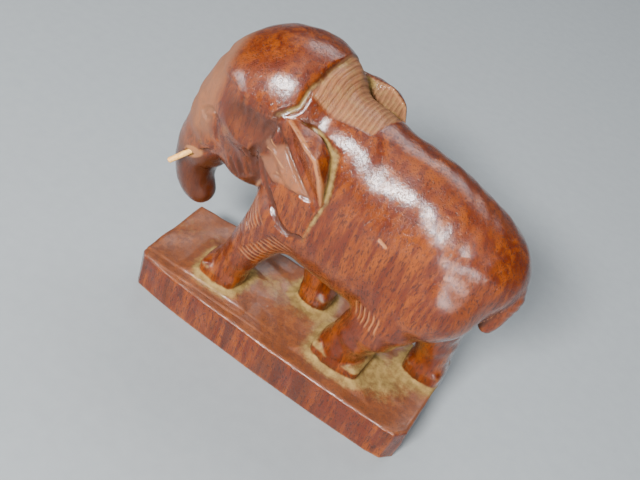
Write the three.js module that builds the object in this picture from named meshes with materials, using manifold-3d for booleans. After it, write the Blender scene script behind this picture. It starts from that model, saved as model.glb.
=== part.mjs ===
// A carved wooden elephant walking on its plinth, cut from one block, with two pegs for tusks.
// Millimetres, +Z up. The elephant faces -X and its left side is towards -Y.
// Shapes are laid out about the elephant's own mid-plane (y = 0) with the plinth's middle at x = 0.
// Last of all the whole figure is shifted so that its box is centred over the origin.

import * as THREE from 'three';
import { ConvexGeometry } from 'three/addons/geometries/ConvexGeometry.js';
import { RoundedBoxGeometry } from 'three/addons/geometries/RoundedBoxGeometry.js';
import { mergeVertices } from 'three/addons/utils/BufferGeometryUtils.js';
import Module from 'manifold-3d';

// ---- Driving dimensions ----

const PLINTH_FRONT = 57.2;            // middle of the plinth to its front end
const PLINTH_REAR = 56;               // middle of the plinth to its rear end
const PLINTH_HEIGHT = 15.7;
const PLINTH_EDGE = 1.2;              // the worn round on the plinth's edges
const PLINTH_NEAR = 21.6;             // mid-plane to the bulge of the plinth's left edge
const PLINTH_FAR = 19.6;              // mid-plane to the plinth's right edge
const MOUND_HEIGHT = 2.8;             // ground left standing around the feet

const TUSK_RADIUS = 0.95;
const TUSK_ROOT = [-50, 6.0, 63.5];   // right-hand tusk; the left one mirrors it
const TUSK_TIP = [-59.0, 12.2, 53.0];
const TUSK_POINT = 0.35;              // rounding at the tusk's cut end
const SOCKET_GAP = 0.3;               // between a tusk and its drilled socket

const WOOD = { color: 0x9a4a20, roughness: 0.35, metalness: 0 };
const TUSK_WOOD = { color: 0xe6b878, roughness: 0.55, metalness: 0 };

// Fineness of the round forms.
const BALL_SIDES = 24;
const BALL_RINGS = 14;
const LIMB_SIDES = 16;
const LIMB_CAP_RINGS = 4;
const RINGS_PER_STATION = 2;
const TUSK_SIDES = 16;
const FOOT_SEGMENTS = 2;
const FOOT_ROUND = 2.4;

// ---- Solids ----

const wasm = await Module();
wasm.setup();

// Turns a closed three.js geometry into a solid that can be joined and cut.
function solidOf(geometry) {
  const bare = geometry.clone();
  bare.deleteAttribute('normal');
  bare.deleteAttribute('uv');
  const merged = mergeVertices(bare);
  return new wasm.Manifold(new wasm.Mesh({
    numProp: 3,
    vertProperties: new Float32Array(merged.attributes.position.array),
    triVerts: new Uint32Array(merged.index.array),
  }));
}

// Turns a solid back into a three.js geometry with flat-shaded faces.
function geometryOf(solid) {
  const mesh = solid.getMesh();
  const geometry = new THREE.BufferGeometry();
  geometry.setAttribute('position', new THREE.BufferAttribute(mesh.vertProperties, 3));
  geometry.setIndex(new THREE.BufferAttribute(mesh.triVerts, 1));
  geometry.computeVertexNormals();
  return geometry;
}

const joined = (solids) => solids.reduce((whole, solid) => whole.add(solid));

// An egg-shaped mass with half-sizes radii, tipped nose-down by pitch degrees.
function mass(centre, radii, pitch = 0) {
  const ball = new THREE.SphereGeometry(1, BALL_SIDES, BALL_RINGS);
  ball.rotateX(Math.PI / 2);
  ball.scale(...radii);
  ball.rotateY(THREE.MathUtils.degToRad(-pitch));
  ball.translate(...centre);
  return solidOf(ball);
}

// A round limb: a capsule bent along a smooth spine through stations [x, y, z, radius].
function limb(stations, width = 1) {
  const spine = new THREE.CatmullRomCurve3(stations.map(([x, y, z]) => new THREE.Vector3(x, y, z)));
  const spans = stations.length - 1;
  const radiusAt = (t) => {
    const i = Math.min(Math.floor(t * spans), spans - 1);
    return THREE.MathUtils.lerp(stations[i][3], stations[i + 1][3], t * spans - i);
  };
  const capsule = new THREE.CapsuleGeometry(1, 1, LIMB_CAP_RINGS, LIMB_SIDES, spans * RINGS_PER_STATION);
  const position = capsule.attributes.position;
  const sideways = new THREE.Vector3(0, 1, 0);
  for (let i = 0; i < position.count; i++) {
    const along = position.getY(i);
    const t = THREE.MathUtils.clamp(along + 0.5, 0, 1);
    const radius = radiusAt(t);
    const tangent = spine.getTangent(t);
    const front = new THREE.Vector3().crossVectors(sideways, tangent).normalize();
    const side = new THREE.Vector3().crossVectors(tangent, front);
    const point = spine.getPoint(t)
      .addScaledVector(tangent, radius * (along + 0.5 - t))
      .addScaledVector(side, radius * width * position.getX(i))
      .addScaledVector(front, radius * position.getZ(i));
    position.setXYZ(i, point.x, point.y, point.z);
  }
  return solidOf(capsule);
}

const mirrored = ([x, y, z, ...rest]) => [x, -y, z, ...rest];

// ---- Plinth ----

// A hand-cut slab: bulged along its left edge, narrower at the front, its left rear corner rounded.
function plinth() {
  const front = -PLINTH_FRONT;
  const rear = PLINTH_REAR;
  const outline = new THREE.Shape();
  outline.moveTo(front, PLINTH_FAR - 3.8);
  outline.lineTo(front, -PLINTH_NEAR + 4.2);
  outline.quadraticCurveTo(front + 1, -PLINTH_NEAR + 1.6, front + 13, -PLINTH_NEAR + 0.7);
  outline.quadraticCurveTo(8, -PLINTH_NEAR - 0.8, rear - 8, -PLINTH_NEAR + 1.1);
  outline.quadraticCurveTo(rear - 2, -PLINTH_NEAR + 2, rear - 1.8, -PLINTH_NEAR + 6.2);
  outline.lineTo(rear - 3, PLINTH_FAR - 1.6);
  outline.lineTo(rear - 25, PLINTH_FAR);
  outline.lineTo(-20, PLINTH_FAR - 0.4);
  const slab = new THREE.ExtrudeGeometry(outline, {
    depth: PLINTH_HEIGHT - 2 * PLINTH_EDGE,
    bevelThickness: PLINTH_EDGE,
    bevelSize: PLINTH_EDGE,
    bevelOffset: -PLINTH_EDGE,
    bevelSegments: 2,
    curveSegments: 5,
  });
  slab.translate(0, 0, PLINTH_EDGE);
  const mound = mass([8, 0, PLINTH_HEIGHT - 4.2], [42, 13.5, MOUND_HEIGHT + 4.2]);
  return solidOf(slab).add(mound);
}

// ---- Elephant ----

function trunkAndHead() {
  return joined([
    mass([-32.6, 0.2, 90], [21.6, 19.8, 21.8], 12),  // forehead and crown
    mass([-28, 3.4, 94], [20, 18.6, 19.3]),          // back of the skull
    mass([-35, 0, 71.5], [13.5, 13.5, 14.5]),        // cheeks and jaw
    limb([[-41.8, 0, 86, 15.8], [-48.5, 0, 72, 12.3], [-53.2, 0, 61, 9],
      [-55.7, 0, 51, 7.4], [-54.6, 0, 43.2, 6.3], [-51.4, 0, 39.3, 5.4]]),
  ]);
}

function barrel() {
  return joined([
    mass([13, 0.3, 71], [42, 19.9, 30.9]),           // ribs and belly
    mass([35, 0.3, 78.5], [23.4, 17, 17]),           // rump
    mass([39, -9.4, 67.5], [13.2, 11.4, 15]),        // left haunch
    mass([39, 9.4, 67.5], [13.2, 11.4, 15]),         // right haunch
    mass([-6, 0, 71], [22, 18, 28]),                 // chest and shoulders
    mass([-8, 0, 86.5], [20, 16, 18.2]),             // neck
  ]);
}

// A squared foot, a block with rounded edges.
function foot(centre, halves) {
  const box = new RoundedBoxGeometry(...halves.map((half) => 2 * half), FOOT_SEGMENTS, FOOT_ROUND);
  box.translate(...centre);
  return solidOf(box);
}

// Walking: the left legs reach forward under the body and the right legs trail.
function legs() {
  return joined([
    limb([[-29.8, -6.2, 19, 7.2], [-27, -7, 28, 6.4], [-23, -8, 40, 7.2], [-16, -8.5, 60, 10.5]]),
    limb([[-0.2, 9.8, 19, 5.8], [-2, 9.6, 28, 5.7], [-5.5, 9, 42, 6.9], [-8, 8.5, 60, 10.5]]),
    limb([[19, -5.6, 19, 8.2], [21.2, -6.6, 29, 7.6], [26.5, -8, 42, 9.4], [34, -7.5, 60, 12]]),
    limb([[45.8, 11, 19, 6.9], [45.2, 10.5, 29, 6.5], [42, 9, 43, 8.8], [36, 8, 60, 12]]),
    foot([-30.2, -6.2, 18], [7.4, 6.9, 5.5]),
    foot([0, 9.9, 18], [5.9, 5.7, 5.5]),
    foot([20.2, -5.7, 17], [9.6, 7.4, 5]),
    foot([45.8, 11, 18], [6.9, 6.7, 5.5]),
  ]);
}

// One thick ear flap, cut with flat knife facets: a raised rim behind and a root at the head.
// Points are for the right side.
const EAR_POINTS = [
  [-22.8, 18, 96.6], [-15.5, 20.5, 96.4], [-8.1, 22, 94.4], [-4.4, 22, 88.3],
  [-2.5, 20.8, 80], [-5.2, 18, 63.5],
  [-24.6, 16.5, 92.5], [-26, 17.5, 87], [-28, 15.5, 78], [-22.6, 17.5, 71.4], [-16.8, 17, 64],
  [-24, 10, 92], [-26, 10, 78], [-16, 10, 62],
];
// The foot of the slope behind each ear, which is cut steeper on the left.
const LEFT_SLOPE = [[-21.5, 15, 98], [-12, 15, 97.6], [-6, 15, 94.2], [-2.6, 15, 84.5], [-4.8, 13, 62]];
const RIGHT_SLOPE = [[-21.5, 15, 98], [-8.8, 15, 99], [-2, 15, 95], [1, 15, 84], [-4, 13, 62]];
const RIGHT_EAR_LIFT = [2, 2, 4.5];  // the right ear is cut a little higher and further back

function ears() {
  const lifted = (point) => point.map((value, axis) => value + RIGHT_EAR_LIFT[axis]);
  const left = [...EAR_POINTS, ...LEFT_SLOPE].map(mirrored);
  const right = [...EAR_POINTS, ...RIGHT_SLOPE].map(lifted);
  return joined([left, right].map((points) =>
    solidOf(new ConvexGeometry(points.map((point) => new THREE.Vector3(...point))))));
}

function tail() {
  return limb([[52.5, 0, 83, 3.2], [56.9, 0, 75, 3.1], [56.3, 0, 67, 2.8], [54.9, 0, 60.5, 2.7]]);
}

// ---- Tusks ----

// A straight peg from its inner end to its softly rounded outer end.
function pegGeometry(root, tip, radius) {
  const from = new THREE.Vector3(...root);
  const to = new THREE.Vector3(...tip);
  const length = from.distanceTo(to);
  const profile = [
    [0, 0], [radius, 0], [radius, length - TUSK_POINT], [radius - TUSK_POINT, length], [0, length],
  ].map(([r, h]) => new THREE.Vector2(r, h));
  const peg = new THREE.LatheGeometry(profile, TUSK_SIDES);
  const turn = new THREE.Quaternion().setFromUnitVectors(
    new THREE.Vector3(0, 1, 0), to.clone().sub(from).normalize());
  peg.applyQuaternion(turn);
  peg.translate(...root);
  return peg;
}

// The drilled hole that a tusk is pushed into, open at the cheek.
function socket(root, tip) {
  const direction = new THREE.Vector3(...tip).sub(new THREE.Vector3(...root)).normalize();
  const deeper = new THREE.Vector3(...root).addScaledVector(direction, -SOCKET_GAP);
  return solidOf(pegGeometry(deeper.toArray(), tip, TUSK_RADIUS + SOCKET_GAP));
}

// ---- The whole figure ----

const MIDDLE = [-1.58, 1];  // the middle of the whole figure's box before it is centred

const sides = { left_tusk: mirrored, right_tusk: (point) => point };
const figure = new THREE.Group();

let block = joined([plinth(), barrel(), trunkAndHead(), legs(), ears(), tail()]);
for (const [name, placed] of Object.entries(sides)) {
  const root = placed(TUSK_ROOT);
  const tip = placed(TUSK_TIP);
  block = block.subtract(socket(root, tip));
  const tusk = new THREE.Mesh(mergeVertices(pegGeometry(root, tip, TUSK_RADIUS)),
    new THREE.MeshStandardMaterial(TUSK_WOOD));
  tusk.name = name;
  figure.add(tusk);
}

const carving = new THREE.Mesh(geometryOf(block), new THREE.MeshStandardMaterial(WOOD));
carving.name = 'carved_block';
figure.add(carving);
figure.position.set(-MIDDLE[0], -MIDDLE[1], 0);

export default figure;
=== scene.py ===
"""A small carved wooden elephant on its plinth, cut from one block, with two let-in pegs for tusks.

The carving is sculpted as a signed distance field in the figure's own layout, in millimetres: the elephant
faces -X, its left side is towards -Y, y = 0 is its mid-plane and z = 0 is the table. The field is meshed,
cut with grooves and gouge strokes, and moved to where the CAD tusks say the figure stands.
"""

import math

import bpy
import numpy as np
from mathutils import Matrix, Vector


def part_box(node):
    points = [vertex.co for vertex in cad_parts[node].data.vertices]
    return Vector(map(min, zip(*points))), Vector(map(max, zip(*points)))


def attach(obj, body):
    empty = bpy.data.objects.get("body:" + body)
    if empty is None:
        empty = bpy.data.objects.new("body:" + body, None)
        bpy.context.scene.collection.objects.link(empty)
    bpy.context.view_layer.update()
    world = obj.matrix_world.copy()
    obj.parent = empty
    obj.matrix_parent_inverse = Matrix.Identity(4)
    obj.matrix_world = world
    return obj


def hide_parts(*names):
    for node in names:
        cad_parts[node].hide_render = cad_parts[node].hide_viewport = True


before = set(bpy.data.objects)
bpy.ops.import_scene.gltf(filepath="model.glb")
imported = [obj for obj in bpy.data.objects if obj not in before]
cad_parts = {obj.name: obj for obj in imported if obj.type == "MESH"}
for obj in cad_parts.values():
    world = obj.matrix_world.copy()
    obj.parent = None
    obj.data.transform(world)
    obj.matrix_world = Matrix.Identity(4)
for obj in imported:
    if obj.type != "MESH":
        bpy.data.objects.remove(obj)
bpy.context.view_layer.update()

MM = 0.001

# ---- Driving sizes of the carving, in millimetres ----

PLINTH_TOP = 15.7
PLINTH_ROUND = 1.2
TUSK_ROOT = (-50.0, 6.0, 63.5)
TUSK_TIP = (-59.0, 12.2, 53.0)
SOCKET_RADIUS = 1.25
GRID = 0.55
FAR = 9.0     # a field value well clear of any surface


def placement():
    """The shift from the figure's own layout to the frame, read off the two CAD tusks."""
    boxes = [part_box(name) for name in ("left_tusk", "right_tusk")]
    middles = [(Vector(low) + Vector(high)) / 2 for low, high in boxes]
    mid_x = (middles[0].x + middles[1].x) / 2
    mid_y = (middles[0].y + middles[1].y) / 2
    return np.array([mid_x / MM - (TUSK_ROOT[0] + TUSK_TIP[0]) / 2, mid_y / MM, 0.0])


SHIFT = placement()

# ---- Distance fields ----


def length(v):
    return np.sqrt((v * v).sum(-1))


def smooth_union(a, b, blend):
    """Two bodies joined, with a fillet where their fields differ by less than blend."""
    mix = np.clip(0.5 + 0.5 * (b - a) / blend, 0, 1)
    return b + (a - b) * mix - blend * mix * (1 - mix)


def smooth_overlap(a, b, blend):
    """The body that two bodies share, its new edge eased by blend."""
    return -smooth_union(-a, -b, blend)


def smooth_cut(a, b, blend):
    """a with b taken away, its new edge eased by blend."""
    return smooth_overlap(a, -b, blend)


def egg(p, centre, radii, pitch=0.0):
    """An ellipsoid, tipped nose-down by pitch degrees."""
    q = p - np.array(centre, np.float32)
    if pitch:
        c, s = math.cos(math.radians(pitch)), math.sin(math.radians(pitch))
        q = np.stack([q[:, 0] * c + q[:, 2] * s, q[:, 1], q[:, 2] * c - q[:, 0] * s], -1)
    r = np.array(radii, np.float32)
    k0 = length(q / r)
    k1 = length(q / (r * r)) + 1e-9
    return k0 * (k0 - 1) / k1


def block(p, centre, half, rounding):
    """A box with rounded edges."""
    q = np.abs(p - np.array(centre, np.float32)) - (np.array(half, np.float32) - rounding)
    return length(np.maximum(q, 0)) + np.minimum(q.max(1), 0) - rounding


def taper(p, a, b, ra, rb):
    """A round bar from a to b whose radius runs from ra to rb."""
    a, b = np.array(a, np.float32), np.array(b, np.float32)
    ab = b - a
    t = np.clip(((p - a) @ ab) / (ab @ ab), 0, 1)
    return length(p - a - t[:, None] * ab) - (ra + (rb - ra) * t)


def catmull(points, steps):
    """Points of a smooth curve through rows of numbers, steps to a span."""
    rows = np.array(points, float)
    rows = np.vstack([2 * rows[0] - rows[1], rows, 2 * rows[-1] - rows[-2]])
    out = []
    for i in range(1, len(rows) - 2):
        p0, p1, p2, p3 = rows[i - 1:i + 3]
        for t in np.linspace(0, 1, steps, endpoint=False):
            out.append(0.5 * (2 * p1 + (p2 - p0) * t + (2 * p0 - 5 * p1 + 4 * p2 - p3) * t * t
                              + (3 * p1 - p0 - 3 * p2 + p3) * t ** 3))
    out.append(rows[-2])
    return np.array(out)


def limb(p, stations, steps=2):
    """A smooth round limb through stations (x, y, z, radius)."""
    rows = catmull(stations, steps)
    field = None
    for a, b in zip(rows, rows[1:]):
        d = taper(p, a[:3], b[:3], a[3], b[3])
        field = d if field is None else smooth_union(field, d, 0.6)
    return field


def plane_through(a, b, c, outward):
    """The plane (normal, offset) through three points, its normal on the side of outward."""
    a, b, c = (np.array(v, float) for v in (a, b, c))
    normal = np.cross(b - a, c - a)
    normal /= np.linalg.norm(normal)
    if normal @ np.array(outward) < 0:
        normal = -normal
    return normal, normal @ a


def above(p, plane):
    """Height above a plane."""
    return p @ plane[0].astype(np.float32) - plane[1]


def hull_planes(points):
    """The face planes of the convex body round a set of points, each of them once."""
    pts = np.array(points, float)
    middle = pts.mean(0)
    planes = {}
    for i in range(len(pts)):
        for j in range(i + 1, len(pts)):
            for k in range(j + 1, len(pts)):
                normal, offset = plane_through(pts[i], pts[j], pts[k], pts[i] - middle)
                if (pts @ normal - offset).max() < 1e-4:
                    planes[tuple(np.round(normal, 2))] = (normal, offset)
    return list(planes.values())


def facets(p, planes, easing):
    """The body inside all the planes, its edges eased."""
    field = above(p, planes[0])
    for plane in planes[1:]:
        field = smooth_overlap(field, above(p, plane), easing)
    return field


def only_near(part, p, box):
    """The part's field inside a box (low, high) that clears it well, and plain FAR outside the box."""
    low, high = box
    field = np.full(len(p), FAR, np.float32)
    inside = ((p > low) & (p < high)).all(1)
    if inside.any():
        field[inside] = part(p[inside])
    return field


def mirrored(p):
    return p * np.array([1, -1, 1], np.float32)


# ---- The plinth ----

# The slab's hand-cut outline, seen from above: bulged along its left edge, narrower at the front.
OUTLINE = [(-57.2, -17.4), (-55.2, -19.7), (-43, -20.9), (-30, -21.4), (0, -21.7), (25, -21.2),
           (45, -20.3), (50.5, -19.3), (53.8, -15.4), (53.2, 5), (52.4, 18), (30, 19.4), (0, 19.6),
           (-20, 19), (-46, 17), (-57.2, 15.8)]
GROUND = PLINTH_TOP - 0.25     # the plain part of the hand-cut top, between the ramps

# Knife-cut ramps that rise to the feet: middle, height, and reach along and across the plinth.
RAMPS = [(-29, -6, 3.0, 13, 9.5), (0, 11, 2.6, 11, 11), (21, -5, 3.2, 15, 9.5), (46, 11, 2.6, 12, 12),
         (10, 2, 1.6, 34, 9)]
# Two long steps beside the left forefoot: slant and offset of the line y = slant * x - offset where each
# one starts.
STEPS = [(0.03, 14.6), (0.04, 17.6)]
STEP_RISE = 0.45
STEP_RUN = 0.5


def outline_distance(flat, outline):
    """Distance outside a polygon for points (u, v), negative inside it."""
    corners = np.array(outline, np.float32)
    near = np.full(len(flat), 1e9, np.float32)
    sign = np.ones(len(flat), np.float32)
    for i in range(len(corners)):
        a, b = corners[i], corners[i - 1]
        edge = b - a
        w = flat - a
        t = np.clip((w @ edge) / (edge @ edge), 0, 1)
        q = w - t[:, None] * edge
        near = np.minimum(near, (q * q).sum(-1))
        from_a, below_b = flat[:, 1] >= a[1], flat[:, 1] < b[1]
        left = edge[0] * w[:, 1] > edge[1] * w[:, 0]
        crossed = (from_a & below_b & left) | (~from_a & ~below_b & ~left)
        sign = np.where(crossed, -sign, sign)
    return sign * np.sqrt(near)


def ground_height(p):
    """Height of the plinth's hand-cut top."""
    x, y = p[:, 0], p[:, 1]
    top = np.full(len(p), GROUND, np.float32)
    for cx, cy, rise, reach_x, reach_y in RAMPS:
        ramp = rise * (1.15 - np.maximum(np.abs(x - cx) / reach_x, np.abs(y - cy) / reach_y))
        top = np.maximum(top, GROUND + np.minimum(ramp, rise * 0.55))
    steps = sum(np.clip((y + offset - slant * x) / STEP_RUN, 0, 1) for slant, offset in STEPS)
    ahead_of_middle = np.clip((2 - x) / 14, 0, 1)
    front_sinks = 0.3 * np.clip((-30 - x) / 25, 0, 1)
    return top + STEP_RISE * steps * ahead_of_middle - front_sinks


def plinth(p):
    across = outline_distance(p[:, :2], OUTLINE) + PLINTH_ROUND
    up = p[:, 2] - (ground_height(p) - PLINTH_ROUND)
    corner = np.stack([np.maximum(across, 0), np.maximum(up, 0)], -1)
    rounded = length(corner) + np.minimum(np.maximum(across, up), 0) - PLINTH_ROUND
    return smooth_overlap(rounded, -p[:, 2], 0.8)


# ---- The elephant ----


def barrel(p):
    field = egg(p, (13, 0.3, 71), (42, 19.9, 30.9))
    field = smooth_union(field, egg(p, (35, 0.3, 78.5), (23.4, 17, 17)), 5)
    field = smooth_union(field, egg(p, (-6, 0, 71), (22, 18, 28)), 6)
    field = smooth_union(field, egg(p, (-8, 0.5, 86.5), (20, 16, 18.2)), 5)
    for side in (-1, 1):
        haunch = egg(p, (39.0, side * 9.4, 67.5), (13.2, 11.4, 15.0))
        field = smooth_union(field, haunch, 3)
    return field


def head(p):
    skull = egg(p, (-32.6, 0.2, 90.0), (21.6, 19.8, 21.8), 12)
    occiput = egg(p, (-28, 3.4, 94.0), (20, 18.6, 19.3))
    face = limb(p, [(-41.8, 0, 86, 15.8), (-48.5, 0, 72, 12.3), (-53.2, 0, 61, 9)])
    trunk = limb(p, [(-53.2, 0, 61, 9), (-55.7, 0, 51, 7.4), (-54.6, 0, 43.2, 6.3),
                     (-51.4, 0, 39.3, 5.4)], 3)
    jaw = egg(p, (-35, 0, 71.5), (13.5, 13.5, 14.5))
    dome = smooth_union(skull, occiput, 4)
    temples = np.minimum(*(egg(p, (-32, side * 23.2, 87.5), (13.5, 6.2, 10.2)) for side in (-1, 1)))
    dome = smooth_cut(dome, temples, 0.9)
    field = smooth_union(dome, face, 2.5)
    field = smooth_union(field, trunk, 3)
    return smooth_union(field, jaw, 3)


LEGS = {
    "left_fore": [(-29.8, -6.2, 19, 7.2), (-27, -7, 28, 6.4), (-23, -8, 40, 7.2), (-16, -8.5, 60, 10.5)],
    "right_fore": [(-0.2, 9.8, 19, 5.8), (-2, 9.6, 28, 5.7), (-5.5, 9, 42, 6.9), (-8, 8.5, 60, 10.5)],
    "left_hind": [(19, -5.6, 19, 8.2), (21.2, -6.6, 29, 7.6), (26.5, -8, 42, 9.4), (34, -7.5, 60, 12)],
    "right_hind": [(45.8, 11, 19, 6.9), (45.2, 10.5, 29, 6.5), (42, 9, 43, 8.8), (36, 8, 60, 12)],
}
# The squared feet: middle, and half sizes.
FEET = [((-30.2, -6.2, 18), (7.4, 6.9, 5.5)), ((0, 9.9, 18), (5.9, 5.7, 5.5)),
        ((20.2, -5.7, 17), (9.6, 7.4, 5.0)), ((45.8, 11.0, 18), (6.9, 6.7, 5.5))]


def legs(p):
    field = None
    for stations in LEGS.values():
        leg = limb(p, stations)
        field = leg if field is None else smooth_union(field, leg, 1.5)
    for centre, half in FEET:
        field = smooth_union(field, block(p, centre, half, 2.4), 2.0)
    return field


# One ear, in points for the right side: outer rim, root at the head, inner body.
EAR = [(-22.8, 18, 96.6), (-15.5, 20.5, 96.4), (-8.1, 22, 94.4), (-4.4, 22, 88.3), (-2.5, 20.8, 80),
       (-5.2, 18, 63.5),
       (-24.6, 16.5, 92.5), (-26.0, 17.5, 87), (-28.0, 15.5, 78), (-22.6, 17.5, 71.4), (-16.8, 17, 64),
       (-24, 10, 92), (-26, 10, 78), (-16, 10, 62)]
# The foot of the slope behind each ear, which is cut steeper on the left.
LEFT_SLOPE = [(-21.5, 15, 98), (-12.0, 15, 97.6), (-6.0, 15, 94.2), (-2.6, 15, 84.5), (-4.8, 13, 62.0)]
RIGHT_SLOPE = [(-21.5, 15, 98), (-8.8, 15, 99), (-2.0, 15, 95), (1, 15, 84), (-4.0, 13, 62.0)]
LEFT_EAR = hull_planes(EAR + LEFT_SLOPE)
RIGHT_EAR = hull_planes(EAR + RIGHT_SLOPE)
OUT = (0, 1, 0)
EAR_VALLEY = ((-24, 13.8, 93.7), (-6.4, 17.8, 80.6))      # where the rim's inner slope meets the flap
RIM_SLOPE = plane_through(*EAR_VALLEY, (-9.5, 21.9, 93.1), OUT)
FLAP = plane_through(*EAR_VALLEY, (-19.6, 19.4, 81.0), OUT)
LOBE = plane_through((-15.5, 19.2, 77.6), (-5.8, 20.4, 80.4), (-5.2, 17.4, 63.5), OUT)
FOLD_STEP = plane_through((-26.5, 15.8, 85.8), (-15.6, 17.6, 76.4), (-18.5, 19.6, 83.0), OUT)
FRONT_FLAP = plane_through((-26.5, 15.8, 85.8), (-15.6, 17.6, 76.4), (-25.5, 17.4, 74.0), OUT)
EAR_FRONT_CUT = [(-24.6, -19.5, 95.0, 1.2), (-26.8, -19.6, 90.0, 2.6), (-28.2, -18.6, 83.0, 1.6),
                 (-29.0, -15.4, 76.0, 1.5), (-27.6, -12.6, 69.0, 1.2)]
RIGHT_EAR_LIFT = (2.0, 2.0, 4.5)


def ear(p, planes):
    field = facets(p, planes, 0.5)
    field = smooth_overlap(field, np.minimum(above(p, RIM_SLOPE), above(p, FLAP)), 0.3)
    field = smooth_overlap(field, np.minimum(above(p, FOLD_STEP), above(p, FRONT_FLAP)), 0.3)
    return smooth_overlap(field, above(p, LOBE), 0.3)


def ears(p):
    right = p - np.array(RIGHT_EAR_LIFT, np.float32)
    return np.minimum(ear(mirrored(p), LEFT_EAR), ear(right, RIGHT_EAR))


def ear_front_cuts(p):
    """The deep notch that sets each ear off from its cheek."""
    right = p - np.array(RIGHT_EAR_LIFT, np.float32)
    return np.minimum(limb(p, EAR_FRONT_CUT), limb(mirrored(right), EAR_FRONT_CUT))


def tail(p):
    return limb(p, [(52.5, 0, 83, 3.2), (56.9, 0, 75, 3.1), (56.3, 0, 67, 2.8), (54.9, 0, 60.5, 2.7)], 3)


def tusk_line(side):
    mirror = np.array([1, side, 1])
    return np.array(TUSK_ROOT) * mirror, np.array(TUSK_TIP) * mirror


# Boxes (low, high) that clear each part of the figure well.
HEAD_BOX = ((-72, -30, 25), (5, 32, 122))
LEG_BOX = ((-47, -30, 0), (62, 30, 82))
SHIN_BOX = ((-47, -30, 0), (62, 30, 40))
TAIL_BOX = ((40, -12, 48), (70, 12, 96))
EAR_BOX = ((-38, -32, 52), (12, 34, 112))
EAR_FRONT_BOX = ((-40, -32, 55), (-10, 34, 112))
PLINTH_BOX = ((-70, -32, -9), (66, 32, 32))


def figure(p):
    """The whole block of wood."""
    field = barrel(p)
    field = smooth_union(field, only_near(head, p, HEAD_BOX), 3)
    field = smooth_union(field, only_near(legs, p, LEG_BOX), 4)
    field = smooth_union(field, only_near(tail, p, TAIL_BOX), 0.8)
    field = smooth_union(field, only_near(ears, p, EAR_BOX), 0.5)
    field = smooth_cut(field, only_near(ear_front_cuts, p, EAR_FRONT_BOX), 0.7)
    field = smooth_union(field, only_near(plinth, p, PLINTH_BOX), 1.4)
    for side in (-1, 1):
        root, tip = tusk_line(side)
        field = np.maximum(field, -taper(p, root, tip, SOCKET_RADIUS, SOCKET_RADIUS))
    return field


# ---- Meshing ----

# The corners of the grid, which clear the whole figure, and how many cells a block has along each side.
LOW = np.array([-66.0, -26.0, -1.5])
HIGH = np.array([64.0, 29.0, 115.0])
BLOCK = 6
BLOCKS_AT_A_TIME = 400


def sample_field(field):
    """The field on a fine grid, worked out only in the blocks near its surface."""
    cells = np.ceil((HIGH - LOW) / GRID / BLOCK).astype(int)
    values = np.full(cells * BLOCK + 1, FAR, np.float32)
    span = BLOCK * GRID
    middles = np.stack(np.meshgrid(*[LOW[a] + (np.arange(cells[a]) + 0.5) * span for a in range(3)],
                                   indexing="ij"), -1).reshape(-1, 3).astype(np.float32)
    far = field(middles).reshape(cells)
    for i, j, k in np.argwhere(far < -span) * BLOCK:
        values[i:i + BLOCK + 1, j:j + BLOCK + 1, k:k + BLOCK + 1] = -FAR
    near = np.argwhere(np.abs(far) <= span)
    local = np.stack(np.meshgrid(*[np.arange(BLOCK + 1)] * 3, indexing="ij"), -1).reshape(-1, 3)
    for part in np.array_split(near, max(1, len(near) // BLOCKS_AT_A_TIME)):
        index = (part[:, None, :] * BLOCK + local[None]).reshape(-1, 3)
        values[tuple(index.T)] = field((LOW + index * GRID).astype(np.float32))
    return values


CORNERS = np.array([(i, j, k) for i in (0, 1) for j in (0, 1) for k in (0, 1)])
EDGES = [(a, b) for a in range(8) for b in range(a + 1, 8) if np.abs(CORNERS[a] - CORNERS[b]).sum() == 1]


def net_vertices(values, active):
    """One vertex in each active cell, at the mean of the crossings on the cell's edges."""
    corner_values = np.stack([values[tuple((active + c).T)] for c in CORNERS], -1)
    total = np.zeros((len(active), 3))
    count = np.zeros(len(active))
    for a, b in EDGES:
        va, vb = corner_values[:, a], corner_values[:, b]
        crossed = (va < 0) != (vb < 0)
        t = np.where(crossed, va / np.where(crossed, va - vb, 1), 0)
        point = CORNERS[a] + t[:, None] * (CORNERS[b] - CORNERS[a])
        total += np.where(crossed[:, None], point, 0)
        count += crossed
    return LOW + (active + total / count[:, None]) * GRID


def surface_net(values):
    """Vertices and quads of the surface where values change sign."""
    inside = values < 0
    shape = np.array(values.shape) - 1
    full = np.zeros(shape, np.int8)
    for i, j, k in CORNERS:
        full += inside[i:i + shape[0], j:j + shape[1], k:k + shape[2]]
    active = np.argwhere((full > 0) & (full < 8))
    number = np.full(shape, -1, np.int64)
    number[tuple(active.T)] = np.arange(len(active))
    quads = []
    for axis in range(3):
        step = np.eye(3, dtype=int)
        u, v = step[(axis + 1) % 3], step[(axis + 2) % 3]
        here = inside[tuple(slice(0, -1) if a == axis else slice(1, -1) for a in range(3))]
        ahead = inside[tuple(slice(1, None) if a == axis else slice(1, -1) for a in range(3))]
        for leaving in (True, False):
            base = np.argwhere((here & ~ahead) if leaving else (~here & ahead)) + u + v
            ring = [base - u - v, base - v, base, base - u]
            faces = np.stack([number[tuple(corner.T)] for corner in ring], -1)
            quads.append(faces if leaving else faces[:, ::-1])
    return net_vertices(values, active), np.vstack(quads)


# The corners of a tetrahedron: four readings round a point give the way the field rises.
PROBES = np.array([(1, 1, 1), (1, -1, -1), (-1, 1, -1), (-1, -1, 1)], np.float32)
PROBE_STEP = 0.15
SETTLE_LIMIT = 0.4


def slope(field, p):
    """The field's outward direction at each point."""
    p = p.astype(np.float32)
    g = sum(probe * field(p + probe * PROBE_STEP)[:, None] for probe in PROBES)
    return g / (length(g)[:, None] + 1e-9)


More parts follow.
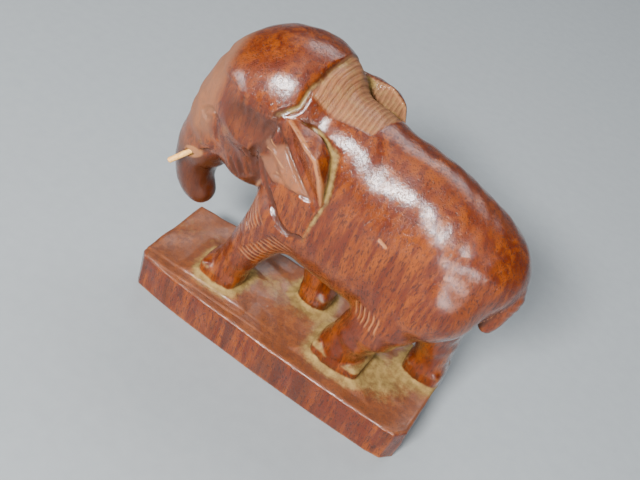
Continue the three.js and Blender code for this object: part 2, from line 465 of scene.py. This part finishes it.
def settle(field, verts):
    """Moves vertices onto the field's surface."""
    for _ in range(2):
        d = field(verts.astype(np.float32))
        verts = verts - slope(field, verts) * np.clip(d, -SETTLE_LIMIT, SETTLE_LIMIT)[:, None]
    return verts


# ---- Knife work ----


def ease(x):
    """0 below 0, 1 above 1, with a smooth rise between them."""
    x = np.clip(x, 0, 1)
    return x * x * (3 - 2 * x)


def path_distance(p, points):
    """Distance to a chain of straight lines."""
    near = np.full(len(p), 1e9)
    for a, b in zip(np.array(points, float), np.array(points[1:], float)):
        ab = b - a
        t = np.clip(((p - a) @ ab) / (ab @ ab), 0, 1)
        near = np.minimum(near, length(p - a - t[:, None] * ab))
    return near


def v_cut(p, points, width, depth):
    """The depth of a V-shaped cut along a line; width is measured from the line to one edge."""
    return depth * np.clip(1 - path_distance(p, points) / width, 0, 1)


def round_cut(p, points, width, depth):
    """The depth of a cut with a round bottom and soft edges."""
    return depth * ease(1 - path_distance(p, points) / width)


def both_sides(p):
    """The same points folded onto the left side."""
    q = p.copy()
    q[:, 1] = -np.abs(q[:, 1])
    return q


def fan(first, last, count):
    """Straight cuts (top, bottom) spread evenly from the first cut to the last."""
    first, last = np.array(first, float), np.array(last, float)
    return [first + t * (last - first) for t in np.linspace(0, 1, count)]


# The groove over the neck, from behind the left ear to behind the right one.
NECK_GROOVE = [(-25.5, -17, 97), (-21, -14.5, 101), (-21, -11, 106), (-20, -3, 110.5), (-18.5, 5, 111),
               (-17.5, 17, 102)]
# Cuts on the left side, which the right side repeats. The two fans of wrinkles lie on the cheek and the
# temple.
CHEEK_CUTS = fan(((-40, -13, 67), (-37, -12, 62.5)), ((-31.5, -17, 79), (-27.5, -13, 70)), 5)
TEMPLE_CUTS = fan(((-37, -18.5, 97), (-35.5, -18, 90)), ((-30.5, -17.5, 97), (-31.5, -17.5, 89.5)), 3)
FACE_CUTS = [((-45, -16, 82.5), (-43.5, -13.5, 73)), ((-43, -17, 83), (-41.5, -14.5, 74.5)),
             ((-52, -11.5, 77.5), (-49.5, -11.5, 70.5))]
EYE_FRONT = (-51.5, -12, 79.5)
EYE_BACK = (-44.5, -16, 83)
EYE_RIM_UPPER = [EYE_FRONT, (-49.5, -13.5, 82), (-47, -15, 83.5), EYE_BACK]
EYE_RIM_LOWER = [EYE_FRONT, (-49, -14, 78.5), (-46.5, -15, 80.5), EYE_BACK]
EYEBALL = (-48, -14, 81)
EYEBALL_SIZE = (3.2, 3.0, 1.6)
BROW = [(-52.5, -12, 83), (-49, -14.5, 86), (-45.5, -16, 86.5)]
MOUTH = [(-49.5, -9.5, 62.5), (-45.5, -11.5, 65.5), (-42.5, -10.5, 62), (-41, -6, 59)]
# Along this line a painted shadow darkens the notch ahead of the left ear; the right side repeats it.
CHEEK_PIT_SHADOW = [(-26, -17.5, 97), (-24.5, -17.5, 94), (-25.5, -17.5, 89), (-26.5, -17.5, 84)]
# Two cuts that are on the left side only.
TAIL_SLIT = [(55, -3.5, 69.5), (54.5, -4, 66), (53, -6, 64.5)]
SCAR = [(17, -18.5, 80.5), (19.5, -18.5, 79.5)]
# Knife steps on the left ear: the foot of the rim, the foot of the flap, the foot of the ear, three nicks.
FLAP_FRONT = (-26.5, -16.5, 79)
FLAP_BACK = (-7, -19, 79)
EAR_STEPS = [[(-23.5, -17.5, 94), (-19.5, -16, 88), (-13, -17.5, 83), FLAP_BACK],
             [FLAP_BACK, (-13, -19.5, 77.5), (-20, -17.5, 75), FLAP_FRONT]]
EAR_FOOT = [FLAP_FRONT, (-21.5, -17, 73.5), (-17.5, -17.5, 67.5), (-13.5, -18.5, 64), (-9, -18.5, 61.5),
            (-5, -18.5, 63.5)]
EAR_NICKS = [((-25, -18, 87.5), (-22.5, -17.5, 86)), ((-25, -17.5, 84.5), (-18, -18.5, 82)),
             ((-20, -17, 78), (-15, -19, 78))]
# Along this line a painted highlight runs on the rim of the left ear.
EAR_RIM_HIGHLIGHT = [(-18, -17, 93.5), (-12.5, -21, 95), (-8.5, -22, 93.5), (-4, -21, 86.5), (-3, -19.5, 79.5)]
# The dull flap ahead of the rim, where a sheen is painted, as seen from the side in (x, z).
EAR_FLAP_OUTLINE = [(-26.5, 87), (-24, 92), (-18, 86.5), (-7, 79), (-13, 78), (-20, 75.5), (-27, 79)]
# V cuts by kind: the lines, and each cut's width and depth.
FACE_KNIFE = [(CHEEK_CUTS, 1.2, 1.4), (TEMPLE_CUTS, 1.2, 0.5), (FACE_CUTS, 1.0, 0.8),
              ((EYE_RIM_UPPER, EYE_RIM_LOWER), 1.0, 1.1)]
EAR_KNIFE = [(EAR_STEPS, 1.0, 0.7), (EAR_NICKS, 0.9, 0.6)]


def in_left_ear(p):
    """The same points with the right ear laid over the left one."""
    right = mirrored(p - np.array(RIGHT_EAR_LIFT))
    return np.where((p[:, 1] < 0)[:, None], p, right)


# The ear's rim as seen from the side, in (x, z), closed well ahead of the ear.
RIM_FROM_THE_SIDE = [(x, z) for x, _, z in EAR[:6]] + [(-16, 52), (-45, 52), (-45, 97)]


def behind_ears(p):
    """The crease where the slope behind each ear runs into the body, as 0 to 1."""
    q = p.astype(np.float32)
    to_ear = np.abs(only_near(ears, q, EAR_BOX))
    to_body = np.abs(only_near(barrel, q, EAR_BOX))
    beyond = outline_distance(in_left_ear(q)[:, [0, 2]], RIM_FROM_THE_SIDE)
    return ease(1 - np.maximum(to_ear, to_body) / 2.2) * ease((beyond + 0.2) / 0.8)


CAP_EDGE = 97.6     # height of the dome's edge; it rises over the forehead and wavers along its way


def cap_step(p):
    """The dome of the head overhangs the temples and the forehead: 1 just under its edge."""
    x, y, z = p.T
    edge = CAP_EDGE + 0.25 * np.clip(-44 - x, 0, 20) * np.clip(1 - np.abs(y) / 16, 0, 1)
    edge += 0.45 * np.sin(0.55 * x)
    return ease((edge - z) / 1.2) * ease((z - edge + 17) / 15) * ease((-23 - x) / 2.5)


def deepened(depth, p, knife):
    """The depth with a list of V cuts added to it; where cuts cross, the deepest one counts."""
    for lines, width, cut in knife:
        for line in lines:
            depth = np.maximum(depth, v_cut(p, line, width, cut))
    return depth


def knife_depth(p):
    """How far the knife goes below the plain forms, in millimetres. The eyeballs and brows stand proud."""
    q = both_sides(p)
    depth = round_cut(p, NECK_GROOVE, 1.8, 1.0) + 0.5 * behind_ears(p)
    depth = deepened(depth, q, FACE_KNIFE)
    depth -= 0.6 * ease(1 - length((q - EYEBALL) / EYEBALL_SIZE))
    depth -= round_cut(q, BROW, 2.0, 0.9)
    depth = np.maximum(depth, v_cut(q, MOUTH, 1.4, 1.1))
    ear_side = in_left_ear(p)
    depth = deepened(depth, ear_side, EAR_KNIFE)
    depth = np.maximum(depth, round_cut(ear_side, EAR_FOOT, 1.8, 0.9))
    depth = np.maximum(depth, v_cut(p, SCAR, 0.8, 0.35))
    return np.maximum(depth, v_cut(p, TAIL_SLIT, 1.3, 1.6))


# The gouged patch on the neck: its front and right edges, its rear edge (x against y), its left edge
# (y against x), and the height where it begins.
SADDLE_FRONT = -20.2
SADDLE_RIGHT = 19
SADDLE_REAR = ((-12, -8, 5, 17), (-6.5, -0.6, 2.1, 1.0))
SADDLE_LEFT = ((-20, -14, -7, 0), (-11.6, -9.6, -9.0, -7.6))
SADDLE_FLOOR = 92


def saddle(p):
    """The roughly gouged patch on top of the neck, as 0 to 1."""
    x, y, z = p.T
    rear = np.interp(y, *SADDLE_REAR)
    left = np.interp(x, *SADDLE_LEFT)
    return (ease((x - SADDLE_FRONT) / 0.8) * ease((rear - x) / 0.5 + 0.5) * ease((y - left) / 0.8)
            * ease((z - SADDLE_FLOOR) / 3) * ease((SADDLE_RIGHT - y) / 2))


SADDLE_PITCH = 1.5
# Rows of gouge strokes on the legs: middle of the row, its direction, pitch, the row's half length, and
# reach along the strokes.
LEG_ROWS = [((-15.5, -16.0, 47.5), (0.52, -0.10, 0.85), 2.1, 11.5, 3.6),
            ((-24.0, -15.0, 58.0), (0.45, -0.30, 0.84), 2.4, 6.5, 4.5),
            ((23.5, -16.2, 49.5), (0.97, -0.15, 0.15), 2.0, 6.5, 3.2)]


def stroke_rows(p, normals):
    """The rows of gouge strokes: a running count across the strokes, and how strongly they show."""
    q = both_sides(p)
    phase = p[:, 0] / SADDLE_PITCH
    strength = saddle(p)
    for middle, along, pitch, half, reach in LEG_ROWS:
        along = np.array(along) / np.linalg.norm(along)
        offset = q - np.array(middle)
        run = offset @ along
        off_axis = length(offset - run[:, None] * along)
        outward = normals[:, 1] * p[:, 1] > 0
        show = ease((half - np.abs(run)) / 1.5) * ease((reach + 1.2 - off_axis) / 1.8) * outward
        phase = np.where(show > strength, run / pitch, phase)
        strength = np.maximum(strength, show)
    uneven = 0.10 * np.sin(0.31 * p[:, 1] + 0.43 * p[:, 2]) + 0.08 * np.sin(0.9 * p[:, 2] - 0.6 * p[:, 0])
    return phase + uneven, strength


def gouged(phase, strength):
    """The troughs between the strokes, as 0 to 1."""
    from_trough = np.abs(phase - np.round(phase))
    return strength * ease(1 - from_trough / 0.4)


# How far off the surface the wood is probed for sharp edges, wide hollows and tight ones.
EDGE_REACH = 1.5
WIDE_HOLLOW = 4.0
TIGHT_HOLLOW = 1.6


def crowding(p, normals, reach):
    """0 in the open, towards 1 in hollows: how much wood stands within reach above the surface."""
    ahead = figure((p + normals * reach).astype(np.float32))
    return np.clip(1 - ahead / reach, 0, 1)


DUST_LINE = 23.5     # dust round the feet reaches up to this height
BEHIND_LEFT_FOOT = (34, -5, 16)


def dust_cover(p, normals, hollows):
    """Where dust lies: in hollows, round the feet, and in the cuts behind the ears and the head."""
    x, y, z = p.T
    up = ease((normals[:, 2] - 0.2) / 0.5)
    ground = ease((DUST_LINE - z) / 3) * ease((normals[:, 2] + 0.1) / 0.6)
    feet = only_near(legs, p.astype(np.float32), SHIN_BOX)
    round_feet = ease(1 - feet / 5.0) * (0.35 + 0.65 * (y > -17))
    between = ease(1 - np.abs(y - 3) / 12) * (0.4 + 0.6 * ease((x + 24) / 8) * ease((50 - x) / 6))
    behind_foot = ease(1 - length((p - BEHIND_LEFT_FOOT)[:, :2] / (16, 12)))
    low = 0.92 * ground * np.clip(round_feet + 0.5 * between + behind_foot, 0, 1)
    groove = ease(1 - path_distance(p, NECK_GROOVE) / 1.5) * (0.3 + 0.4 * ease((-y - 4) / 12))
    creases = 0.85 * behind_ears(p) + groove + 0.28 * saddle(p)
    return np.clip(low + creases + 0.9 * ease((hollows - 0.45) / 0.4) * up, 0, 1)


def dirt_and_painted_shade(p):
    """The darker wood of the trunk, partly dirt and partly painted shade; painted shade on the cheeks and
    temples, along the notch ahead of each ear and in the tail slit.
    """
    x, _, z = p.T
    # The trunk: dirt and painted shade. The cheeks and temples: painted shade.
    trunk = 0.72 * ease((-40 - x) / 6) * ease((66 - z) / 8) * ease((z - 25) / 5)
    cheeks = 0.42 * ease((-24 - x) / 4) * ease((97 - z) / 5) * ease((z - 58) / 6) * ease((x + 46) / 7)
    # Painted shadow along the notch ahead of each ear; painted shade in the tail slit.
    pit_shadows = round_cut(both_sides(p), CHEEK_PIT_SHADOW, 2.6, 0.6)
    return trunk + cheeks + pit_shadows + round_cut(p, TAIL_SLIT, 1.6, 1.0)


def ear_flap_sheen(p):
    """The flap on the front of each ear, where the polish has gone dull and a sheen is painted."""
    on_ear = ease(1.2 - np.abs(only_near(ears, p.astype(np.float32), EAR_BOX)))
    outside_flap = outline_distance(in_left_ear(p)[:, [0, 2]], EAR_FLAP_OUTLINE)
    return on_ear * ease(0.5 - outside_flap / 0.6)


def wear_and_painted_glints(p, normals):
    """Pale edges: rubbed pale wherever the wood falls away on both sides and along the scar; a painted
    highlight along each ear's rim and painted glints just under the ear's nicks.
    """
    edge = np.clip(1 + figure((p - normals * EDGE_REACH).astype(np.float32)) / EDGE_REACH, 0, 1)
    ear_side = in_left_ear(p)
    # A painted highlight along the ear's rim; the scar rubbed pale.
    glints_and_scar = round_cut(ear_side, EAR_RIM_HIGHLIGHT, 0.8, 0.4) + round_cut(p, SCAR, 1.0, 0.9)
    # Painted glints just under each nick on the ear.
    for line in EAR_NICKS:
        glints_and_scar = glints_and_scar + round_cut(ear_side - (0, 0, 0.9), line, 0.7, 0.8)
    return np.clip(edge + glints_and_scar, 0, 1)


def film_and_sheen(p, normals):
    """Where the lacquer is worn dull under a film of dust: the plinth's top, the neck's gouged patch and
    the top of the trunk; on the forehead partly that and partly a painted sheen; on the ears' flaps a
    painted sheen.
    """
    x, _, z = p.T
    up = ease((normals[:, 2] - 0.3) / 0.5)
    top = ease((19 - z) / 2) * up
    forehead = ease((-44 - x) / 5) * ease((z - 66) / 10) * 0.95
    shaft = ease((-48 - x) / 4) * ease((76 - z) / 8) * ease((z - 52) / 8) * 0.3
    # The ears' flaps get a painted sheen; the forehead is partly dust film and partly painted sheen.
    return np.clip(top * 0.45 + forehead + shaft + 0.7 * ear_flap_sheen(p) + 0.9 * saddle(p), 0, 1)


# The slow waves that add up to hand-cut unevenness: radians per millimetre along x, y and z, and height.
HAND_WAVES = [((0.31, 0.22, 0.17), 0.08), ((-0.18, 0.41, 0.29), 0.07), ((0.52, -0.33, 0.38), 0.07),
              ((0.75, 0.61, -0.44), 0.05)]
WAVE_OFFSET = 1.7
UNDERSIDE = 0.6     # below this height the wood stays flat, to stand on


def hand_cut(p):
    """The gentle unevenness a knife leaves on every surface but the underside, in millimetres."""
    waves = np.zeros(len(p))
    for k, (rate, height) in enumerate(HAND_WAVES):
        waves += height * np.sin(p @ np.array(rate) + WAVE_OFFSET * k)
    return waves * (p[:, 2] > UNDERSIDE)


def mesh_normals(verts, quads):
    """The surface direction at each vertex, from the quads round it, the larger ones counting for more."""
    a, b, c, d = (verts[quads[:, i]] for i in range(4))
    face = np.cross(c - a, d - b)
    total = np.zeros_like(verts)
    for i in range(4):
        np.add.at(total, quads[:, i], face)
    return total / (length(total)[:, None] + 1e-12)


def wood_marks(verts, normals, cut, step, phase, strokes):
    """What the wood's material reads at each vertex, by attribute name."""
    hollows = np.maximum(crowding(verts, normals, WIDE_HOLLOW), crowding(verts, normals, TIGHT_HOLLOW))
    cut_shade = 1.6 * np.clip(cut - 0.15, 0, 1)
    return {
        "phase": phase,
        "strokes": strokes,
        # Painted shade: darker in hollows, in the knife cuts and just under the dome's edge; with the
        # trunk's dirt and the painted shade on the cheeks, ahead of the ears and in the tail slit.
        "shade_and_grime": np.clip(hollows + cut_shade + 0.3 * step + dirt_and_painted_shade(verts), 0, 1),
        # Rubbed edges, with a painted highlight along the ears' rims and painted glints by their nicks.
        "edge": wear_and_painted_glints(verts, normals),
        "dust": dust_cover(verts, normals, hollows),
        # Dust film, with a painted sheen on the ears' flaps and partly on the forehead.
        "film_and_sheen": film_and_sheen(verts, normals),
    }


def carving_object(verts, quads, marks):
    """The carving as an object in the frame, with its marks as attributes."""
    mesh = bpy.data.meshes.new("carving")
    mesh.from_pydata(((verts + SHIFT) * MM).tolist(), [], quads.tolist())
    for name, values in marks.items():
        attribute = mesh.attributes.new(name, "FLOAT", "POINT")
        attribute.data.foreach_set("value", values.astype(np.float32))
    mesh.shade_smooth()
    piece = bpy.data.objects.new("carving", mesh)
    bpy.context.collection.objects.link(piece)
    return piece


def carve():
    """Meshes the plain forms, marks them for the material, then cuts them with the knife."""
    verts, quads = surface_net(sample_field(figure))
    verts = settle(figure, verts)
    normals = mesh_normals(verts, quads)
    cut = knife_depth(verts)
    step = cap_step(verts)
    phase, strokes = stroke_rows(verts, normals)
    marks = wood_marks(verts, normals, cut, step, phase, strokes)
    on_saddle = saddle(verts)
    gouge_depth = 0.32 - 0.26 * on_saddle
    cut = cut + 0.7 * step + 0.4 * on_saddle + gouged(phase, strokes) * gouge_depth
    verts = verts + normals * (hand_cut(verts) - cut)[:, None]
    return carving_object(verts, quads, marks)


# ---- Materials ----


class Graph:
    """A material's node graph."""

    def __init__(self, name):
        self.material = bpy.data.materials.new(name)
        self.material.use_nodes = True
        self.tree = self.material.node_tree
        self.shader = self.tree.nodes["Principled BSDF"]

    def feed(self, socket, value):
        if isinstance(value, bpy.types.NodeSocket):
            self.tree.links.new(value, socket)
        else:
            socket.default_value = value

    def add(self, kind, inputs, **settings):
        node = self.tree.nodes.new(kind)
        for key, value in settings.items():
            setattr(node, key, value)
        for key, value in inputs.items():
            self.feed(node.inputs[key], value)
        return node

    def attribute(self, name):
        return self.add("ShaderNodeAttribute", {}, attribute_name=name).outputs["Fac"]

    def maths(self, operation, a, b):
        return self.add("ShaderNodeMath", {0: a, 1: b}, operation=operation).outputs[0]

    def between(self, value, low, high):
        """0 below low, 1 above high, eased between them."""
        node = self.add("ShaderNodeMapRange", {"Value": value, "From Min": low, "From Max": high},
                        interpolation_type="SMOOTHSTEP")
        return node.outputs[0]

    def blend(self, amount, low, high):
        """The number low where amount is 0 and high where it is 1."""
        node = self.add("ShaderNodeMapRange", {"Value": amount, "To Min": low, "To Max": high})
        return node.outputs[0]

    def mix(self, amount, a, b):
        """The colour a where amount is 0 and b where it is 1."""
        return self.add("ShaderNodeMix", {0: amount, 6: a, 7: b}, data_type="RGBA").outputs[2]

    def tint(self, under, over, cover, strength):
        """The colour under, covered with over as far as cover times strength says."""
        return self.mix(self.maths("MULTIPLY", cover, strength), under, over)

    def millimetres(self, stretch=(1, 1, 1)):
        """Object coordinates in millimetres, scaled by stretch."""
        place = self.add("ShaderNodeTexCoord", {}).outputs["Object"]
        scale = tuple(s / MM for s in stretch)
        return self.add("ShaderNodeVectorMath", {0: place, 1: scale}, operation="MULTIPLY").outputs[0]

    def noise(self, stretch, detail, rough=0.5, distortion=0.0):
        """Noise whose coarsest cells come stretch times in a millimetre, along x, y and z."""
        inputs = {"Vector": self.millimetres(stretch), "Scale": 1.0, "Detail": detail,
                  "Roughness": rough, "Distortion": distortion}
        return self.add("ShaderNodeTexNoise", inputs).outputs["Fac"]

    def bump(self, height, depth_mm, under=None):
        inputs = {"Height": height, "Distance": depth_mm * MM}
        if under is not None:
            inputs["Normal"] = under
        return self.add("ShaderNodeBump", inputs).outputs[0]

    def set(self, **values):
        for key, value in values.items():
            self.feed(self.shader.inputs[key.replace("_", " ")], value)


DARK_WOOD = (0.042, 0.009, 0.002, 1)
RED_WOOD = (0.085, 0.011, 0.001, 1)
ORANGE_WOOD = (0.19, 0.038, 0.001, 1)
PORE = (0.025, 0.006, 0.003, 1)
# The pale colour of rubbed edges and of the strokes' ridges, also used for painted highlights along the
# ears' rims and nicks.
PALE_EDGE = (0.42, 0.17, 0.06, 1)
# The pale colour of the dust film, also painted as a sheen on the ears' flaps and the forehead.
FILM_AND_SHEEN = (0.25, 0.115, 0.06, 1)
DUST = (0.28, 0.185, 0.06, 1)
OLIVE_DUST = (0.16, 0.10, 0.028, 1)
TUSK_WOOD = (0.86, 0.47, 0.12, 1)
TUSK_FIBRE = (0.62, 0.28, 0.06, 1)
COAT_ROUGHNESS = 0.16
COAT_IOR = 1.5
BAND_TOP = 15.0     # the dark bands along the plinth's side fade out just under its top
# How deep the fine relief is, in millimetres: gouge troughs, dust and dents, wood grain, lacquer over it.
TROUGH_RELIEF = 0.08
DENT_RELIEF = 0.12
GRAIN_RELIEF = 0.05
LACQUER_RELIEF = 0.035


def clean_wood(g, fine, pores):
    """The wood's colour. Its fibres run up the block: streaks on the sides, dots on top."""
    streaks = g.noise((0.42, 0.42, 0.045), detail=4.0, rough=0.6, distortion=0.4)
    figure_tone = g.noise((0.07, 0.07, 0.03), detail=3.0, distortion=1.2)
    warm = g.mix(g.between(streaks, 0.38, 0.62), RED_WOOD, ORANGE_WOOD)
    wood = g.tint(warm, RED_WOOD, g.between(figure_tone, 0.42, 0.66), 0.55)
    height = g.add("ShaderNodeSeparateXYZ", {0: g.millimetres()}).outputs[2]
    bands = g.between(g.noise((0.17, 0.02, 0.02), detail=2.0, rough=0.7), 0.5, 0.62)
    plinth_side = g.maths("MULTIPLY", g.between(height, BAND_TOP, BAND_TOP - 1.0), 0.55)
    wood = g.tint(wood, DARK_WOOD, bands, plinth_side)
    wood = g.tint(wood, DARK_WOOD, g.between(fine, 0.46, 0.68), 0.5)
    return g.tint(wood, PORE, pores, 0.7)


def painted_shade_and_edges(g, wood, fine, stroke, strokes):
    """The wood darkened with painted shade in its hollows and cuts, paler on the strokes' ridges, and pale
    on edges: rubbed there, and painted highlights on the ears' rims and nicks.
    """
    # Painted shade, darkest in hollows and cuts.
    wood = g.tint(wood, DARK_WOOD, g.between(g.attribute("shade_and_grime"), 0.15, 0.85), 0.85)
    ridge = g.maths("MULTIPLY", g.between(stroke, 0.2, 0.5), strokes)
    wood = g.tint(wood, PALE_EDGE, ridge, 0.5)
    # Pale edges: rubbed, with painted highlights along the ears' rims and by their nicks.
    pale_edges = g.between(g.maths("ADD", g.attribute("edge"), g.blend(fine, -0.3, 0.1)), 0.12, 0.5)
    return g.tint(wood, PALE_EDGE, pale_edges, 0.6)


def stroke_relief(g, stroke, strokes, patches):
    """The normal of the gouged and dented surface."""
    trough = g.maths("MULTIPLY", g.between(stroke, 0.22, 0.0), strokes)
    relief = g.bump(g.maths("SUBTRACT", 0.0, trough), TROUGH_RELIEF)
    return g.bump(patches, DENT_RELIEF, relief)


def wood_material():
    g = Graph("lacquered_hardwood")
    pores = g.between(g.noise((2.1, 2.1, 0.42), detail=2.0, rough=0.6), 0.54, 0.62)
    fine = g.noise((4.5, 4.5, 0.8), detail=3.0, rough=0.65)
    patches = g.noise((0.45, 0.45, 0.45), detail=6.0, rough=0.65)
    stroke = g.maths("PINGPONG", g.attribute("phase"), 0.5)
    strokes = g.attribute("strokes")
    wood = painted_shade_and_edges(g, clean_wood(g, fine, pores), fine, stroke, strokes)

    # Dust film, with a painted sheen on the ears' flaps and partly on the forehead.
    film_and_sheen_cover = g.maths("MULTIPLY", g.attribute("film_and_sheen"), g.blend(fine, 0.55, 1.0))
    wood = g.tint(wood, FILM_AND_SHEEN, film_and_sheen_cover, 0.75)
    dust = g.between(g.maths("ADD", g.attribute("dust"), g.blend(patches, -0.5, 0.5)), 0.1, 0.9)
    dust_colour = g.mix(g.between(patches, 0.35, 0.65), OLIVE_DUST, DUST)
    colour = g.tint(wood, dust_colour, dust, 0.88)

    dull = g.maths("MAXIMUM", film_and_sheen_cover, dust)
    relief = stroke_relief(g, stroke, strokes, patches)
    grain = g.bump(g.maths("SUBTRACT", fine, pores), GRAIN_RELIEF, relief)
    polish = g.bump(g.maths("SUBTRACT", fine, pores), LACQUER_RELIEF, relief)
    g.set(Base_Color=colour, Roughness=g.blend(dull, 0.36, 0.9), Normal=grain, Coat_Normal=polish,
          Coat_Weight=g.blend(dull, 1.0, 0.0), Coat_Roughness=COAT_ROUGHNESS, Coat_IOR=COAT_IOR,
          Specular_IOR_Level=g.blend(dull, 0.05, 0.2))
    return g.material


def tusk_material():
    g = Graph("tusk_peg")
    fibre = g.noise((1.5, 1.5, 0.5), detail=3.0)
    colour = g.mix(g.between(fibre, 0.35, 0.7), TUSK_WOOD, TUSK_FIBRE)
    g.set(Base_Color=colour, Roughness=g.blend(fibre, 0.4, 0.6), Normal=g.bump(fibre, GRAIN_RELIEF))
    return g.material


# ---- Stage, lights and camera ----


FLOOR_HALF = 6.0     # metres
FLOOR_DARK = (0.25, 0.27, 0.28, 1)
FLOOR_PALE = (0.29, 0.31, 0.32, 1)


def floor():
    mesh = bpy.data.meshes.new("floor")
    corners = [(x * FLOOR_HALF, y * FLOOR_HALF, 0) for x, y in ((-1, -1), (1, -1), (1, 1), (-1, 1))]
    mesh.from_pydata(corners, [], [(0, 1, 2, 3)])
    piece = bpy.data.objects.new("floor", mesh)
    g = Graph("floor")
    speckle = g.noise((0.2, 0.2, 0.2), detail=3.0)
    g.set(Base_Color=g.mix(speckle, FLOOR_DARK, FLOOR_PALE), Roughness=0.7)
    mesh.materials.append(g.material)
    bpy.context.collection.objects.link(piece)


def direction(azimuth, elevation):
    """The way to something seen from the figure; azimuth 0 is the -Y side and 90 the +X side."""
    a, e = math.radians(azimuth), math.radians(elevation)
    return Vector((math.sin(a) * math.cos(e), -math.cos(a) * math.cos(e), math.sin(e)))


WHITE = (1, 1, 1)
SKY_BLUE = (0.93, 0.96, 1.0)
# Area lights: azimuth, elevation, distance and size in metres, power in watts, colour.
LIGHTS = {
    "window": (-6, 37, 0.9, (0.23, 0.12), 24.0, WHITE),
    "left_box": (-58, 3, 0.9, (0.36, 0.12), 3.8, WHITE),
    "right_box": (24, 4, 0.9, (0.11, 0.10), 3.6, WHITE),
    "right_card": (46, 3, 0.9, (0.16, 0.10), 0.8, WHITE),
    "sky": (182, 58, 1.0, (0.8, 0.5), 8.0, SKY_BLUE),
    "ceiling": (-20, 78, 1.0, (0.5, 0.5), 1.5, WHITE),
}
AIM = (0, 0, 0.06)
# The world's glow is strongest at the horizon and falls off up to a height (the sine of the elevation).
GLOW_COLOUR = (0.86, 0.92, 1.0, 1)
GLOW_AT_HORIZON = 0.2
GLOW_OVERHEAD = 0.1
GLOW_HEIGHT = 0.45


def area_light(name, azimuth, elevation, distance, size, power, colour):
    """A soft light aimed at the figure."""
    towards = direction(azimuth, elevation)
    light = bpy.data.lights.new(name, "AREA")
    light.shape = "RECTANGLE"
    light.size, light.size_y = size
    light.energy = power
    light.color = colour
    lamp = bpy.data.objects.new(name, light)
    lamp.location = Vector(AIM) + towards * distance
    lamp.rotation_euler = towards.to_track_quat("Z", "Y").to_euler()
    bpy.context.collection.objects.link(lamp)


def world_glow():
    """Soft light from all round: pale at the horizon, dim overhead."""
    world = bpy.data.worlds.new("studio")
    world.use_nodes = True
    tree = world.node_tree
    sight = tree.nodes.new("ShaderNodeTexCoord").outputs["Generated"]
    split = tree.nodes.new("ShaderNodeSeparateXYZ")
    tree.links.new(sight, split.inputs[0])
    glow = tree.nodes.new("ShaderNodeMapRange")
    glow.inputs["From Min"].default_value = 0.0
    glow.inputs["From Max"].default_value = GLOW_HEIGHT
    glow.inputs["To Min"].default_value = GLOW_AT_HORIZON
    glow.inputs["To Max"].default_value = GLOW_OVERHEAD
    tree.links.new(split.outputs["Z"], glow.inputs["Value"])
    tree.links.new(glow.outputs[0], tree.nodes["Background"].inputs["Strength"])
    tree.nodes["Background"].inputs["Color"].default_value = GLOW_COLOUR
    bpy.context.scene.world = world


def lights():
    for name, settings in LIGHTS.items():
        area_light(name, *settings)
    world_glow()


# The camera looks down on the elephant's left side, rolled to the right. Angles in degrees; the place is
# in the figure's own layout, and the lens and sensor in millimetres.
CAMERA_AZIMUTH = 15.83
CAMERA_ELEVATION = 42.0
CAMERA_ROLL = 23.5
CAMERA_PLACE = (52.06, -198.93, 236.53)
CAMERA_LENS = 47.8
CAMERA_SENSOR = 36


def camera():
    r = math.radians(CAMERA_ROLL)
    back = direction(CAMERA_AZIMUTH, CAMERA_ELEVATION)
    right = Vector((0, 0, 1)).cross(back).normalized()
    up = back.cross(right)
    rolled_right = math.cos(r) * right + math.sin(r) * up
    rolled_up = -math.sin(r) * right + math.cos(r) * up
    data = bpy.data.cameras.new("camera")
    data.sensor_width = CAMERA_SENSOR
    data.lens = CAMERA_LENS
    data.clip_start = 0.01
    eye = bpy.data.objects.new("camera", data)
    turn = Matrix((rolled_right, rolled_up, back)).transposed().to_4x4()
    eye.matrix_world = Matrix.Translation((Vector(CAMERA_PLACE) + Vector(SHIFT)) * MM) @ turn
    bpy.context.collection.objects.link(eye)
    bpy.context.scene.camera = eye


# ---- The whole scene ----

camera()
lights()
floor()

carving = carve()
carving.data.materials.append(wood_material())
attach(carving, "root")
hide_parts("carved_block")
for node in ("left_tusk", "right_tusk"):
    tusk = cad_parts[node]
    tusk.data.materials.clear()
    tusk.data.materials.append(tusk_material())
